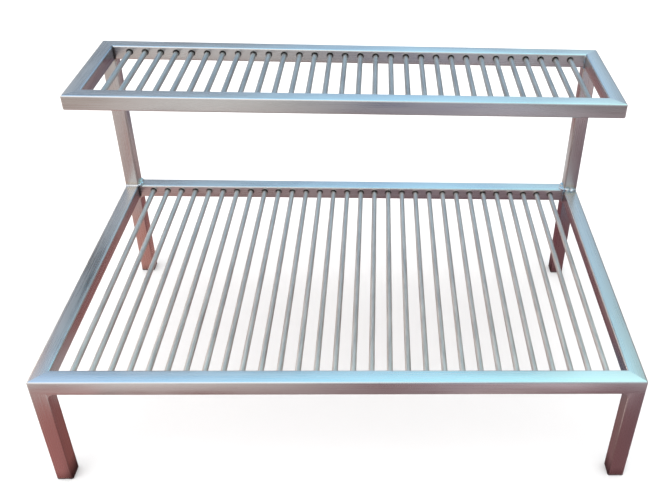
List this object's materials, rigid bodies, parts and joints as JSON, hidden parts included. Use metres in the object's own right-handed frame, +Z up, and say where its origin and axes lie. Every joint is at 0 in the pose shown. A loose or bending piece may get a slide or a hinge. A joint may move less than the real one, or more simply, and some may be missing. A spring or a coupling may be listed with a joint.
{
  "type": "two-tier welded rod rack",
  "caption": "Free-standing welded rack of square tube with two grilles of round rods: a deep low tier on four legs and a narrow upper tier on two rear posts.",
  "frame": {"origin": "on the floor, below the middle of the rack's overall box", "axes": "+X along the width from the left to the right seen from the front, +Y from the front to the back where the posts stand, +Z up"},
  "size_m": [0.7, 0.425, 0.395],
  "materials": {
    "tube_steel": "brushed along each tube, welds ground flush at the frame corners",
    "rod_steel": "drawn rod, satin along its length",
    "plug_plastic": "moulded, matt"
  },
  "bodies": {
    "root": {"lower_front_rail": "tube_steel", "lower_rear_rail": "tube_steel", "lower_left_rail": "tube_steel", "lower_right_rail": "tube_steel", "upper_front_rail": "tube_steel", "upper_rear_rail_and_rods": "tube_steel", "upper_left_rail": "tube_steel", "upper_right_rail": "tube_steel", "front_left_leg": "tube_steel", "front_right_leg": "tube_steel", "rear_left_leg": "tube_steel", "rear_right_leg": "tube_steel", "rear_left_post": "tube_steel", "rear_right_post": "tube_steel", "lower_rod_01": "rod_steel", "lower_rod_02": "rod_steel", "lower_rod_03": "rod_steel", "lower_rod_04": "rod_steel", "lower_rod_05": "rod_steel", "lower_rod_06": "rod_steel", "lower_rod_07": "rod_steel", "lower_rod_08": "rod_steel", "lower_rod_09": "rod_steel", "lower_rod_10": "rod_steel", "lower_rod_11": "rod_steel", "lower_rod_12": "rod_steel", "lower_rod_13": "rod_steel", "lower_rod_14": "rod_steel", "lower_rod_15": "rod_steel", "lower_rod_16": "rod_steel", "lower_rod_17": "rod_steel", "lower_rod_18": "rod_steel", "lower_rod_19": "rod_steel", "lower_rod_20": "rod_steel", "lower_rod_21": "rod_steel", "lower_rod_22": "rod_steel", "lower_rod_23": "rod_steel", "lower_rod_24": "rod_steel", "lower_rod_25": "rod_steel", "lower_rod_26": "rod_steel", "lower_rod_27": "rod_steel", "lower_rod_28": "rod_steel", "lower_rod_29": "rod_steel", "lower_rod_30": "rod_steel", "upper_rod_01": "rod_steel", "upper_rod_02": "rod_steel", "upper_rod_03": "rod_steel", "upper_rod_04": "rod_steel", "upper_rod_05": "rod_steel", "upper_rod_06": "rod_steel", "upper_rod_25": "rod_steel", "upper_rod_26": "rod_steel", "upper_rod_27": "rod_steel", "upper_rod_28": "rod_steel", "upper_rod_29": "rod_steel", "upper_rod_30": "rod_steel", "front_left_foot_plug": "plug_plastic", "front_right_foot_plug": "plug_plastic", "rear_left_foot_plug": "plug_plastic", "rear_right_foot_plug": "plug_plastic"}
  },
  "joints": []
}
